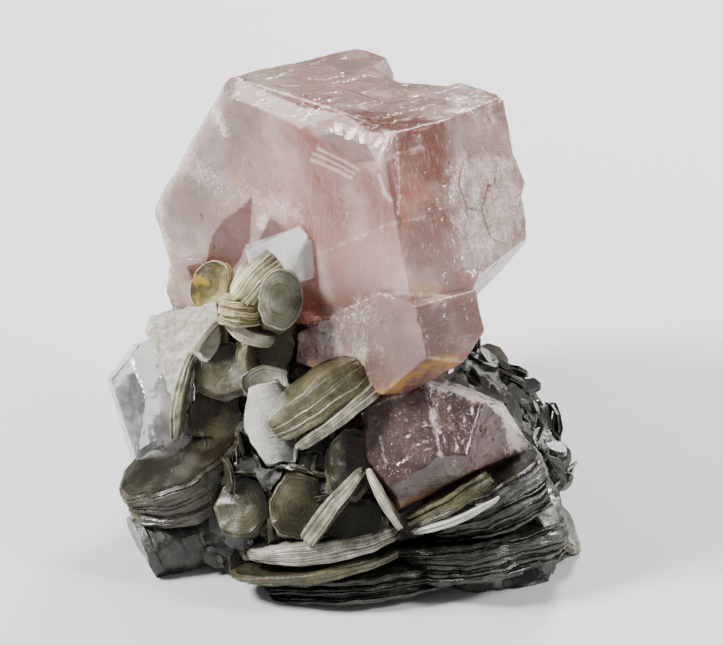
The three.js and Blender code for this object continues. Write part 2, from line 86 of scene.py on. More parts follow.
# Main crystal: along its top front edge, down from its top face, and along its axis
ACROSS = seen((0.705, -0.27, 0.656)).normalized()
INTO = seen((0.7, 0.19, -0.69)).normalized()
DOWN = INTO.cross(ACROSS).normalized()
CORNER = seen((4.2, 38.4, 25.4)) + STAND


# Meshes

def add_object(name, mesh, *replaced, slot=None):
    piece = bpy.data.objects.new(name, mesh)
    bpy.context.scene.collection.objects.link(piece)
    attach(piece, "root")
    if replaced:
        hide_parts(*replaced)
    return piece


def looks_at_eye(edge):
    return any(face.normal.dot(NEAR) > 0.25 for face in edge.link_faces)


def refined(node, longest, front=1.0):
    """A copy of a CAD node's mesh as a bmesh in millimetres, with no edge over longest,
    which is that share shorter on faces that look at the eye."""
    bm = bmesh.new()
    bm.from_mesh(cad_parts[node].data)
    bmesh.ops.scale(bm, vec=(1 / MM,) * 3, verts=bm.verts)
    bmesh.ops.remove_doubles(bm, verts=bm.verts, dist=0.002)
    bmesh.ops.dissolve_degenerate(bm, edges=bm.edges, dist=0.01)
    bmesh.ops.triangulate(bm, faces=bm.faces)
    bm.normal_update()
    for _ in range(9):
        long_edges = [e for e in bm.edges
                      if e.calc_length() > longest * (front if looks_at_eye(e) else 1.0)]
        if not long_edges:
            break
        bmesh.ops.subdivide_edges(bm, edges=long_edges, cuts=1)
        bmesh.ops.triangulate(bm, faces=[f for f in bm.faces if len(f.verts) > 3])
    bm.normal_update()
    return bm


def turbulence(point, scale, seed, octaves=4):
    """Smooth noise, about -1 to 1, with a feature size of scale millimetres."""
    shift = Vector((seed * 7.3, seed * 3.1, seed * 5.7))
    return noise.fractal(point / scale + shift, 1.0, 2.0, octaves)


def smooth(value, low=0.0, high=1.0):
    t = min(1.0, max(0.0, (value - low) / (high - low)))
    return t * t * (3 - 2 * t)


def sharpness(bm, angle=22):
    """By vertex, 1 on the crystal's edges and 0 elsewhere."""
    limit = math.radians(angle)
    sharp = {}
    for edge in bm.edges:
        if len(edge.link_faces) == 2 and edge.calc_face_angle(0) > limit:
            for vert in edge.verts:
                sharp[vert.index] = 1.0
    return sharp


# Marks: outlines on the drawing in millimetres, painted where a face looks at the eye

def polygon_distance(x, y, outline):
    """Distance to a closed outline, positive inside."""
    inside = False
    nearest = 1e9
    for (ax, ay), (bx, by) in zip(outline, outline[1:] + outline[:1]):
        if (ay > y) != (by > y) and x < (bx - ax) * (y - ay) / (by - ay) + ax:
            inside = not inside
        ex, ey = bx - ax, by - ay
        t = ((x - ax) * ex + (y - ay) * ey) / (ex * ex + ey * ey)
        t = min(1.0, max(0.0, t))
        nearest = min(nearest, math.hypot(x - ax - t * ex, y - ay - t * ey))
    return nearest if inside else -nearest


def stroke_distance(x, y, points):
    """Distance to an open line."""
    nearest = 1e9
    for (ax, ay), (bx, by) in zip(points, points[1:]):
        ex, ey = bx - ax, by - ay
        t = ((x - ax) * ex + (y - ay) * ey) / (ex * ex + ey * ey)
        t = min(1.0, max(0.0, t))
        nearest = min(nearest, math.hypot(x - ax - t * ex, y - ay - t * ey))
    return nearest


def mark_value(marks, kind, x, y, wobble):
    """How strongly the marks of one kind cover a place of the drawing, 0 to 1."""
    total = 0.0
    for mark_kind, shape, points, soft, strength in marks:
        if mark_kind != kind:
            continue
        if shape == "area":
            depth = polygon_distance(x, y, points) + soft * wobble
            cover = smooth(depth, -soft, soft)
        else:
            cover = 1 - smooth(stroke_distance(x, y, points) * (1 + 0.5 * wobble), 0, soft)
        total = max(total, cover * strength)
    return total


KINDS = ("frost", "window", "stain", "deep", "lilac", "milk", "comb")


def paint(bm, mesh, marks, base, eye_share=0.12):
    """Stores the marks as attributes of the mesh. base(kind, point, normal) is the value
    that a place has without marks, all round the crystal."""
    bm.verts.ensure_lookup_table()
    values = {kind: np.zeros(len(bm.verts), dtype=np.float32) for kind in KINDS}
    for vert in bm.verts:
        point = vert.co - STAND
        x, y = point.dot(RIGHT), point.dot(UP)
        facing = smooth(vert.normal.dot(NEAR), 0.0, eye_share)
        wobble = turbulence(vert.co, 1.1, 3)
        for kind in KINDS:
            value = base(kind, vert.co, vert.normal)
            if facing > 0 and marks:
                cover = mark_value(marks, kind, x, y, wobble) * facing
                value = value + (1 - value) * cover if cover > 0 else value
            values[kind][vert.index] = min(1.0, max(0.0, value))
    for kind in KINDS:
        layer = mesh.attributes.new(kind, "FLOAT", "POINT")
        layer.data.foreach_set("value", values[kind])


# Materials

class Shader:
    """A material with one Principled BSDF, and short ways to add nodes to it."""

    def __init__(self, name):
        self.material = bpy.data.materials.new(name)
        self.material.use_nodes = True
        self.tree = self.material.node_tree
        self.bsdf = self.tree.nodes["Principled BSDF"]
        self.output = self.tree.nodes["Material Output"]
        self.position = self.add("ShaderNodeTexCoord").outputs["Object"]

    def add(self, kind, **settings):
        made = self.tree.nodes.new(kind)
        for key, value in settings.items():
            setattr(made, key, value)
        return made

    def feed(self, socket, value):
        if isinstance(value, bpy.types.NodeSocket):
            self.tree.links.new(value, socket)
        else:
            socket.default_value = value

    def set(self, **inputs):
        for key, value in inputs.items():
            self.feed(self.bsdf.inputs[key.replace("_", " ")], value)

    def attribute(self, name):
        return self.add("ShaderNodeAttribute", attribute_name=name).outputs["Fac"]

    def along(self, axes, stretch):
        """Object coordinates turned to three axes and stretched along each."""
        parts = self.add("ShaderNodeCombineXYZ")
        for i, (axis, share) in enumerate(zip(axes, stretch)):
            dot = self.add("ShaderNodeVectorMath", operation="DOT_PRODUCT")
            self.feed(dot.inputs[0], self.position)
            dot.inputs[1].default_value = axis * share
            self.feed(parts.inputs[i], dot.outputs["Value"])
        return parts.outputs[0]

    def noise(self, size_mm, detail=4.0, rough=0.55, where=None, swirl=0.0):
        texture = self.add("ShaderNodeTexNoise")
        texture.inputs["Distortion"].default_value = swirl
        self.feed(texture.inputs["Vector"], where or self.position)
        texture.inputs["Scale"].default_value = 1 / (size_mm * MM)
        texture.inputs["Detail"].default_value = detail
        texture.inputs["Roughness"].default_value = rough
        return texture.outputs["Fac"]

    def cells(self, size_mm, where=None, feature="F1"):
        texture = self.add("ShaderNodeTexVoronoi", feature=feature)
        self.feed(texture.inputs["Vector"], where or self.position)
        texture.inputs["Scale"].default_value = 1 / (size_mm * MM)
        return texture.outputs["Distance"]

    def span(self, value, low, high, to_low=0.0, to_high=1.0):
        ramp = self.add("ShaderNodeMapRange", interpolation_type="SMOOTHSTEP")
        self.feed(ramp.inputs["Value"], value)
        ramp.inputs["From Min"].default_value = low
        ramp.inputs["From Max"].default_value = high
        ramp.inputs["To Min"].default_value = to_low
        ramp.inputs["To Max"].default_value = to_high
        return ramp.outputs["Result"]

    def math(self, operation, a, b):
        made = self.add("ShaderNodeMath", operation=operation)
        self.feed(made.inputs[0], a)
        self.feed(made.inputs[1], b)
        return made.outputs[0]

    def blend(self, share, a, b):
        mix = self.add("ShaderNodeMix", data_type="RGBA")
        self.feed(mix.inputs[0], share)
        self.feed(mix.inputs[6], a)
        self.feed(mix.inputs[7], b)
        return mix.outputs[2]

    def bump(self, height, depth_mm, strength=1.0, over=None):
        made = self.add("ShaderNodeBump")
        self.feed(made.inputs["Height"], height)
        made.inputs["Distance"].default_value = depth_mm * MM
        made.inputs["Strength"].default_value = strength
        if over is not None:
            self.feed(made.inputs["Normal"], over)
        return made.outputs["Normal"]

    def absorb(self, colour, density):
        volume = self.add("ShaderNodeVolumeAbsorption")
        volume.inputs["Color"].default_value = colour
        volume.inputs["Density"].default_value = density
        self.tree.links.new(volume.outputs[0], self.output.inputs["Volume"])


def rgb(red, green, blue):
    """A colour as the eye names it, 0 to 255, in linear light."""
    def linear(c):
        c /= 255
        return c / 12.92 if c <= 0.04045 else ((c + 0.055) / 1.055) ** 2.4
    return (linear(red), linear(green), linear(blue), 1.0)


def apatite_material(name, pale, rose, absorb_density):
    """Translucent pink crystal: clear windows painted dark as painted shade and reflection, white
    speckled veils, milky patches with painted highlights, yellow stains.
    """
    s = Shader(name)
    frost, window, stain, deep, lilac, milk, comb = [s.attribute(kind) for kind in KINDS]
    clouds = s.noise(2.6, 6, 0.62)
    grains = s.noise(0.34, 6, 0.72)
    amount = s.math("ADD", frost, s.span(clouds, 0.3, 0.7, -0.22, 0.22))
    cover = s.math("ADD", amount, s.span(grains, 0.3, 0.7, -0.26, 0.26))
    veil = s.math("MULTIPLY", s.span(cover, 0.1, 1.0, 0.0, 0.6), s.span(frost, 0.0, 0.12))
    colour = s.blend(deep, pale, rose)
    colour = s.blend(s.span(clouds, 0.35, 0.75, 0.0, 0.35), colour, rgb(196, 170, 158))
    colour = s.blend(s.math("MULTIPLY", lilac, 0.85), colour, rgb(150, 130, 122))
    # Milky white, which along the chip's four strokes is a painted highlight.
    colour = s.blend(s.math("MULTIPLY", milk, 0.85), colour, rgb(230, 214, 207))
    growth = s.noise(0.5, 5, 0.7, where=s.along((ACROSS, DOWN, INTO), (1.0, 1.0, 0.05)))
    colour = s.blend(s.span(growth, 0.56, 0.74, 0.0, 0.35), colour, rgb(222, 206, 198))
    down = s.noise(0.4, 5, 0.7, where=s.along((ACROSS, DOWN, INTO), (1.0, 0.06, 1.0)))
    combed = s.math("MULTIPLY", comb, s.span(down, 0.48, 0.72, 0.0, 0.7))
    colour = s.blend(combed, colour, rgb(230, 212, 206))
    fine = s.span(grains, 0.46, 0.74, 0.0, 0.22)
    colour = s.blend(fine, colour, rgb(212, 190, 180))
    colour = s.blend(veil, colour, rgb(228, 217, 210))
    # Painted shade and reflection: the clear windows get a dark red-brown colour and let less light
    # through, for the dark seen inside the crystal.
    colour = s.blend(window, colour, rgb(88, 46, 34))
    colour = s.blend(stain, colour, rgb(176, 132, 70))
    s.set(Base_Color=colour, IOR=1.63)
    solid = s.math("ADD", veil, s.math("MULTIPLY", milk, 0.4))
    solid = s.math("ADD", solid, s.math("MULTIPLY", stain, 0.6))
    solid = s.math("ADD", solid, s.math("MULTIPLY", lilac, 0.2))
    clear = s.math("SUBTRACT", s.span(solid, 0, 1, 0.66, 0.1), s.math("MULTIPLY", window, 0.42))
    s.feed(s.bsdf.inputs["Transmission Weight"], clear)
    matt = s.math("ADD", veil, s.span(grains, 0.4, 0.8, 0.0, 0.25))
    s.feed(s.bsdf.inputs["Roughness"], s.span(matt, 0, 1, 0.12, 0.5))
    s.bsdf.inputs["Subsurface Weight"].default_value = 0.35
    s.bsdf.inputs["Subsurface Radius"].default_value = (3.0, 1.8, 1.4)
    s.bsdf.inputs["Subsurface Scale"].default_value = 0.0012
    relief = s.bump(growth, 0.05)
    relief = s.bump(s.noise(0.14, 3, 0.6), 0.014, 0.7, over=relief)
    s.feed(s.bsdf.inputs["Normal"], relief)
    s.absorb(rgb(232, 172, 156), absorb_density)
    return s.material


def quartz_material(name, clearest, cloudiest, absorb_density):
    s = Shader(name)
    cloud = s.span(s.noise(3.4, 6, 0.62), 0.34, 0.72, 0.0, 1.0)
    s.set(Base_Color=s.blend(cloud, rgb(238, 238, 238), rgb(232, 230, 224)), IOR=1.54)
    s.feed(s.bsdf.inputs["Transmission Weight"], s.span(cloud, 0, 1, clearest, cloudiest))
    s.feed(s.bsdf.inputs["Roughness"], s.span(cloud, 0, 1, 0.03, 0.25))
    s.feed(s.bsdf.inputs["Normal"], s.bump(s.noise(0.5, 3), 0.012))
    s.absorb(rgb(196, 194, 190), absorb_density)
    return s.material


def feldspar_material():
    s = Shader("feldspar_chalky")
    grain = s.noise(0.5, 5, 0.65)
    colour = s.blend(s.noise(2.2, 4), rgb(166, 158, 142), rgb(202, 197, 182))
    colour = s.blend(s.span(grain, 0.55, 0.75), colour, rgb(238, 232, 226))
    s.set(Base_Color=colour, IOR=1.53)
    s.feed(s.bsdf.inputs["Transmission Weight"], s.span(grain, 0.3, 0.7, 0.25, 0.0))
    s.feed(s.bsdf.inputs["Roughness"], s.span(grain, 0.3, 0.7, 0.3, 0.7))
    s.feed(s.bsdf.inputs["Normal"], s.bump(grain, 0.08))
    return s.material


def mica_tone(s, share, warm):
    """Mica from dark to light, cold grey to warm cream."""
    dark = s.blend(warm, rgb(20, 21, 20), rgb(40, 34, 18))
    middle = s.blend(warm, rgb(84, 86, 80), rgb(106, 98, 58))
    light = s.blend(warm, rgb(204, 204, 200), rgb(220, 204, 142))
    lower = s.blend(s.span(share, 0.0, 0.55), dark, middle)
    return s.blend(s.span(share, 0.45, 1.0), lower, light)


def mica_face_material():
    """A cleavage face: glassy to pearly, with growth lines that follow its outline."""
    s = Shader("mica_face")
    light, warm = s.attribute("light"), s.attribute("warm")
    lines = s.add("ShaderNodeTexNoise", noise_dimensions="1D")
    s.feed(lines.inputs["W"], s.attribute("zone"))
    lines.inputs["Scale"].default_value = 3.6
    lines.inputs["Detail"].default_value = 6.0
    lines.inputs["Roughness"].default_value = 0.7
    clouds = s.noise(3.4, 4, 0.55)
    share = s.math("ADD", light, s.span(clouds, 0.3, 0.7, -0.1, 0.14))
    share = s.math("ADD", share, s.span(lines.outputs["Fac"], 0.35, 0.7, -0.06, 0.12))
    flaws = s.span(s.noise(0.5, 6, 0.7), 0.62, 0.76, 0.0, 0.35)
    share = s.math("ADD", share, flaws)
    cracks = s.span(s.cells(2.9, feature="DISTANCE_TO_EDGE"), 0.003, 0.012, 0.4, 0.0)
    colour = s.blend(cracks, mica_tone(s, share, warm), rgb(40, 38, 30))
    rust = s.math("MULTIPLY", s.span(warm, 0.7, 1.0), s.span(s.noise(1.8, 4), 0.5, 0.64))
    colour = s.blend(rust, colour, rgb(190, 150, 50))
    s.set(Base_Color=colour, IOR=1.6)
    s.feed(s.bsdf.inputs["Roughness"], s.span(clouds, 0.3, 0.7, 0.14, 0.36))
    s.bsdf.inputs["Coat Weight"].default_value = 0.2
    s.bsdf.inputs["Coat Roughness"].default_value = 0.12
    s.bsdf.inputs["Metallic"].default_value = 0.15
    relief = s.bump(lines.outputs["Fac"], 0.03)
    s.feed(s.bsdf.inputs["Normal"], s.bump(s.noise(0.4, 5), 0.03, over=relief))
    return s.material


def mica_edge_material():
    """The edges of the sheets: fine pale and dark lines that follow each sheet."""
    s = Shader("mica_edge")
    rim, warm = s.attribute("rim"), s.attribute("warm")
    lines = s.add("ShaderNodeTexNoise", noise_dimensions="1D")
    s.feed(lines.inputs["W"], s.attribute("level"))
    lines.inputs["Scale"].default_value = 11.0
    lines.inputs["Detail"].default_value = 3.0
    lines.inputs["Roughness"].default_value = 0.75
    patch = s.noise(1.5, 5, 0.6)
    share = s.math("MULTIPLY", rim, s.span(lines.outputs["Fac"], 0.3, 0.72, 0.5, 1.4))
    share = s.math("ADD", share, s.span(patch, 0.3, 0.75, -0.12, 0.2))
    rust = s.math("MULTIPLY", s.span(warm, 0.7, 1.0), s.span(patch, 0.5, 0.66))
    colour = s.blend(rust, mica_tone(s, share, warm), rgb(176, 146, 64))
    s.set(Base_Color=colour, IOR=1.58)
    s.feed(s.bsdf.inputs["Roughness"], s.span(s.noise(0.3, 3), 0.3, 0.7, 0.14, 0.42))
    s.feed(s.bsdf.inputs["Normal"], s.bump(lines.outputs["Fac"], 0.05, 0.8))
    return s.material


def rock_material():
    s = Shader("matrix_rough")
    grain = s.noise(0.5, 6, 0.7)
    colour = s.blend(s.span(s.noise(2.4, 5), 0.36, 0.64), rgb(26, 26, 24), rgb(66, 64, 58))
    colour = s.blend(s.span(grain, 0.58, 0.7, 0, 0.5), colour, rgb(150, 146, 134))
    colour = s.blend(s.span(s.noise(4.0, 3), 0.62, 0.75, 0, 0.4), colour, rgb(110, 88, 54))
    s.set(Base_Color=colour, IOR=1.55)
    s.feed(s.bsdf.inputs["Roughness"], s.span(grain, 0.3, 0.7, 0.35, 0.75))
    s.feed(s.bsdf.inputs["Normal"], s.bump(grain, 0.12))
    return s.material


# Main crystal. Its marks, on the drawing, are a kind, a shape, its points in millimetres,
# how soft its border is and how strong it is.
MAIN_MARKS = [
    ("frost", "stroke", [(-16.4, 35.6), (-12, 32.8), (-8.6, 31.6), (-6.2, 30.6)], 2.4, 0.5),
    ("frost", "stroke", [(-13.6, 41), (-12.4, 38.6)], 0.9, 0.6),
    ("frost", "stroke", [(-11.4, 44.3), (-0.5, 40.5), (4.2, 38.4)], 0.3, 0.75),
    ("frost", "stroke", [(-19.6, 32), (-18.6, 25.6), (-17.6, 21)], 0.9, 0.5),
    ("frost", "area", [(9.6, 35.3), (11.8, 36), (11.9, 27), (12, 25), (10.7, 24.8),
                       (11.4, 26), (9.7, 30.5)], 0.7, 0.42),
    ("frost", "area", [(11.6, 36.4), (17, 36.4), (17.8, 31), (16.8, 28), (13, 25.6),
                       (11.6, 27)], 0.8, 0.45),
    ("frost", "area", [(10, 44), (14.8, 43), (14.6, 39.8), (9.8, 40.4)], 0.7, 0.4),
    ("frost", "area", [(-4.5, 19), (2.4, 22.6), (2.6, 18), (1.6, 14.6)], 1.6, 0.4),
    # These four milk strokes are painted highlights: white glints on the fractures of the chip.
    ("milk", "stroke", [(-3.8, 35.9), (-1.4, 34.9), (0.1, 34.1)], 0.34, 1.3),
    ("milk", "stroke", [(-3.6, 36.5), (-1.2, 35.4), (0.5, 34.4)], 0.24, 1.3),
    ("milk", "stroke", [(-3.2, 37), (-0.8, 35.8), (0.9, 34.8)], 0.24, 1.2),
    ("milk", "stroke", [(2.9, 34.2), (3.5, 32.4), (4, 31.8)], 0.3, 1.1),
    ("frost", "stroke", [(2.6, 35.6), (3.6, 37.6), (4.2, 38.4)], 0.5, 0.7),
    ("frost", "stroke", [(4.6, 38), (4.9, 33), (4.8, 30.4)], 0.3, 0.6),
    ("frost", "stroke", [(-5, 25.8), (4, 29.5), (9.5, 30.5)], 0.3, 0.42),
    ("frost", "stroke", [(-1.2, 30.7), (-0.7, 29.2), (-0.2, 30.7)], 0.2, 0.75),
    ("frost", "area", [(-9.4, 30.6), (-8.1, 30.8), (-8.4, 29), (-9.2, 29)], 0.3, 0.8),
    ("frost", "stroke", [(-12.2, 29.6), (-10.2, 28.4), (-8.6, 26.4)], 0.35, 0.6),
    ("frost", "stroke", [(-4.5, 19.2), (3, 22.6), (6, 22.6), (10.5, 22.3)], 0.35, 0.6),
    ("milk", "area", [(-11.2, 44.2), (-5, 41.2), (-0.5, 40.4), (-5, 39), (-6.3, 39.9),
                      (-11.9, 42.3)], 0.14, 1.0),
    ("milk", "area", [(-6.3, 40), (-0.6, 40.4), (4.2, 38.4), (4.4, 36), (2.6, 34.2), (-0.4, 36.6),
                      (-3.6, 38.6)], 0.35, 0.6),
    ("milk", "area", [(-20.2, 31.9), (-13.2, 43.6), (-12, 42.2), (-18.6, 32), (-18.8, 27)],
     0.5, 0.5),
    ("milk", "area", [(9.6, 40), (14.8, 40.4), (17.6, 36), (17.6, 30), (12, 24.6), (10.6, 25),
                      (9.6, 30)], 0.8, 0.3),
    ("comb", "area", [(4.6, 38.2), (10, 40), (9.8, 24), (4.4, 23)], 1.0, 0.9),
    ("comb", "area", [(-5.2, 38), (4, 37), (4, 24), (-5.4, 22)], 1.4, 0.35),
    # Window marks: clear places painted dark red-brown, a painted shade and reflection from inside
    # the crystal.
    ("window", "area", [(-0.5, 40.4), (1.8, 41), (4.6, 40.3), (8.5, 39.8), (7.5, 39.2),
                        (4.2, 38.4), (1.9, 38.6)], 0.15, 0.95),
    ("window", "area", [(-9.8, 32.6), (-10.8, 31.4), (-12.9, 30.2), (-14, 28.5),
                        (-14.9, 24.8), (-11.6, 25.2), (-10, 28)], 0.15, 1.0),
    ("window", "area", [(-8, 30.4), (-6, 29), (-6.4, 26.4), (-8.4, 24.8), (-9.6, 27)], 0.2, 0.95),
    ("window", "area", [(-3, 38.2), (-0.8, 38.9), (1.8, 37.2), (2.6, 35.6), (0.6, 35.4),
                        (-1.8, 36.8)], 0.2, 0.8),
    ("window", "area", [(-5, 37.6), (3.6, 36.4), (3.4, 31), (-1, 29.5), (-4.6, 31)], 1.6, 0.34),
    ("stain", "area", [(5.9, 23.8), (9.6, 23.6), (9.4, 22.4), (6.2, 22.2)], 0.6, 0.5),
    ("stain", "area", [(1.8, 11.4), (8, 15.2), (10.5, 15), (10.5, 16.2), (8, 16.2),
                       (2.5, 12.8)], 0.5, 0.9),
    ("stain", "stroke", [(-11.5, 33.6), (-10.9, 35), (-10.6, 36.3)], 0.22, 0.7),
    ("stain", "stroke", [(2.6, 46), (3.4, 45.2)], 0.5, 0.6),
    ("lilac", "area", [(-20.2, 31.9), (-13.2, 42.6), (-9.6, 40), (-9, 32), (-12, 30), (-18.4, 26)],
     1.6, 0.85),
    ("lilac", "area", [(10, 40), (14.8, 40.4), (17.8, 36), (17.8, 28), (13, 24.6), (10.6, 25)],
     0.8, 0.55),
    ("lilac", "area", [(12, 33), (17, 33), (16, 28), (13, 26)], 1.2, 0.7),
    ("lilac", "area", [(-4, 19.5), (3, 22.5), (10, 22), (12.4, 18), (10, 14.5), (2, 13)], 0.8, 0.8),
    ("lilac", "area", [(-0.5, 33), (2.2, 32.6), (1.8, 31.2), (-0.4, 31.4)], 0.4, 0.8),
    ("lilac", "area", [(-11, 44.4), (1.2, 47.6), (14.6, 43), (9, 40), (0, 40.6)], 0.8, 0.8),
]

# A glassy chip under the top corner, rippled like broken glass round one point
CHIP = [(-5, 39), (-0.6, 39.6), (3.6, 38), (3.4, 34.4), (0.6, 33.6), (-3, 35)]
CHIP_START = (-6.5, 41.5)
STEP_HEIGHT = 0.45  # of the growth steps on the top face
END_FACE = (ACROSS * 0.926 - DOWN * 0.337 + INTO * 0.21).normalized()
END_OFFSET = 1.59  # from the crystal's top corner to its rough right end


def chip_depth(x, y):
    """How deep the chip goes at a place of the drawing, in millimetres."""
    depth = polygon_distance(x, y, CHIP)
    if depth <= 0:
        return 0.0
    far = math.hypot(x - CHIP_START[0], y - CHIP_START[1])
    ripple = 0.016 * math.sin(far * 4.4)
    return 0.26 * smooth(depth, 0.0, 2.0) + ripple * smooth(depth, 0.0, 0.8)


def main_relief(point, normal, edge):
    """Height to add to the main crystal along its normal, in millimetres."""
    local = point - CORNER
    a, d, i = local.dot(ACROSS), local.dot(DOWN), local.dot(INTO)
    basal = smooth(-normal.dot(INTO), 0.8, 0.95)
    end = smooth(normal.dot(seen((0.83, 0.1, 0.56)).normalized()), 0.6, 0.85)
    end *= smooth(a, 5.5, 8.5) * (1 - smooth(d, 13.0, 15.0))
    striae = turbulence(Vector((a, d, i * 0.05)), 0.7, 5, 3)
    terrace = turbulence(point, 3.2, 9, 3)
    step = math.floor(terrace * 5) / 5
    height = 0.035 * striae * (1 - basal) + 0.1 * step
    height += end * 0.45 * (turbulence(point, 2.4, 2, 5) - 0.1)
    height += end * 0.24 * turbulence(point, 0.9, 16, 4)
    if normal.dot(NEAR) > 0.2:
        on_page = point - STAND
        height -= chip_depth(on_page.dot(RIGHT), on_page.dot(UP))
    chips = turbulence(point, 2.2, 7, 4)
    height -= edge * (1 - end) * (0.03 + 0.22 * smooth(chips, 0.15, 0.6))
    pits = turbulence(point, 0.9, 12, 2)
    height -= 0.05 * smooth(pits, 0.55, 0.8)
    return height


def eased(point):
    """Lowers the growth steps on the top face and the ledges on the rough right end."""
    local = point - CORNER
    d = local.dot(DOWN)
    if -STEP_HEIGHT < d < 0:
        return point - DOWN * d * 0.8
    proud = local.dot(END_FACE) - END_OFFSET
    if proud > 0:
        return point - END_FACE * proud * 0.6 * (1 - smooth(d, 13.0, 15.0))
    return point


def main_base(kind, point, normal):
    local = point - CORNER
    d = local.dot(DOWN)
    if kind == "deep":
        x = (point - STAND).dot(RIGHT)
        spread = smooth(x + 1.2 * turbulence(point, 3, 4), -7.5, -4.5)
        return spread * (1 - 0.5 * smooth(x, 7, 13))
    if kind == "frost":
        cloud = turbulence(point, 4.5, 6)
        hidden = smooth(-normal.dot(NEAR), -0.2, 0.4)
        return 0.03 + 0.3 * smooth(cloud, 0.0, 0.6) * (0.1 + 0.9 * hidden)
    if kind == "lilac":
        return 0.15 + 0.25 * turbulence(point, 6, 8)
    if kind == "milk":
        up = (point - STAND).dot(UP)
        low = smooth(up, 31, 26) * smooth(up, 21, 23.5)
        return 0.3 * smooth(turbulence(point, 5, 11), 0, 0.6) + 0.4 * low
    if kind == "stain":
        low = smooth(d, 21, 25) * 0.6
        return low * smooth(turbulence(point, 1.6, 10), 0, 0.5)
    return 0.0


def crystal(name, nodes, longest, relief, marks, base, material, slot):
    """One crystal from its solid: worn edges, growth relief and painted marks."""
    bm = refined(nodes[0], longest, 0.7)
    bm.verts.index_update()
    if name == "crystal_main":
        for vert in bm.verts:
            vert.co = eased(vert.co)
        bm.normal_update()
    sharp = sharpness(bm)
    for vert in bm.verts:
        height = relief(vert.co, vert.normal, sharp.get(vert.index, 0.0))
        vert.co += vert.normal * height
    bm.normal_update()
    mesh = bpy.data.meshes.new(name)
    bm.verts.index_update()
    bm.to_mesh(mesh)
    paint(bm, mesh, marks, base)
    bm.free()
    mesh.transform(Matrix.Scale(MM, 4))
    mesh.materials.append(material)
    mesh.shade_smooth()
    mesh.set_sharp_from_angle(angle=math.radians(24))
    return add_object(name, mesh, *nodes, slot=slot)


PALE_PINK = rgb(182, 158, 146)
ROSE = rgb(154, 96, 84)
pink = apatite_material("fluorapatite_pink", PALE_PINK, ROSE, 34.0)
grey_pink = apatite_material("fluorapatite_grey_pink", rgb(92, 72, 67), rgb(104, 64, 58), 90.0)
crystal("crystal_main", ["fluorapatite_main"], 0.42, main_relief, MAIN_MARKS, main_base,
        pink, "apatite")

# Second apatite
LOWER_MARKS = [
    ("frost", "stroke", [(2.6, 11.9), (6, 13.4), (7.6, 13.9), (10.4, 13), (15, 11.2)], 0.7, 0.8),
    ("frost", "stroke", [(8.1, 10.9), (8.6, 8.6), (9, 6.5)], 0.6, 0.7),
    ("frost", "area", [(15.1, 11.2), (18.2, 7.1), (15.5, 6.5)], 0.5, 0.85),
    ("frost", "stroke", [(3, 8.4), (3.6, 5.7)], 0.25, 0.5),
    ("stain", "stroke", [(1, 2.6), (4.6, 1.6), (8.4, 2.6)], 0.9, 0.6),
    ("deep", "area", [(9, 13), (15, 11), (15.6, 6.4), (12, 4), (9.4, 6)], 0.8, 0.8),
]


def lower_relief(point, normal, edge):
    height = 0.03 * turbulence(point, 0.9, 21, 3)
    height += 0.05 * (math.floor(turbulence(point, 3.4, 22, 2) * 4) / 4)
    chips = turbulence(point, 0.9, 23, 4)
    height -= edge * (0.05 + 0.3 * smooth(chips, 0.0, 0.5))
    return height - 0.12 * smooth(turbulence(point, 0.7, 24, 2), 0.55, 0.85)


def lower_base(kind, point, normal):
    if kind == "frost":
        return 0.04 + 0.12 * smooth(turbulence(point, 1.3, 25, 5), 0.1, 0.6)
    if kind == "comb":
        return 0.15
    if kind == "deep":
        return 0.2 + 0.3 * turbulence(point, 4, 26)
    return 0.0


crystal("crystal_lower", ["fluorapatite_lower"], 0.34, lower_relief, LOWER_MARKS, lower_base,
        grey_pink, "apatite_lower")


def small_relief(point, normal, edge):
    chips = turbulence(point, 0.8, 31, 4)
    height = 0.03 * turbulence(point, 0.9, 32, 4)
    return height - edge * (0.03 + 0.16 * smooth(chips, 0.0, 0.5))


def blocky_relief(point, normal, edge):
    height = 0.14 * turbulence(point, 1.1, 33, 5)
    return height - edge * 0.2 * (0.4 + smooth(turbulence(point, 0.8, 34, 4), 0, 0.5))


def no_base(kind, point, normal):
    return 0.0


crystal("crystal_quartz_tip", ["quartz_tip"], 0.4, small_relief, [], no_base,
        quartz_material("quartz_milky", 0.6, 0.3, 20.0), "quartz")
crystal("crystal_quartz_left", ["quartz_left"], 0.4, small_relief, [], no_base,
        quartz_material("quartz_clear", 0.92, 0.7, 80.0), "quartz")
crystal("crystal_feldspar", ["feldspar_left"], 0.35, blocky_relief, [], no_base,
        feldspar_material(), "feldspar")

# Books of mica

def book(at, face, along, length, width, thick, seed, fan=0, rounding=0.4, bow=0, dome=0,
         taper=0, ledge=1.0, light=0.3, rim=0.5, warm=0.3):
    """A book as in the solids: its middle, the direction of its cleavage face, that of its
    length, and its size in millimetres. Fan is in degrees, rounding goes from six corners
    to an oval, and bow, dome and taper bend or thin it by a share of its size. Ledge is
    how far its sheets step out and in. Light, rim and warm are its tones, 0 to 1."""
    return locals()


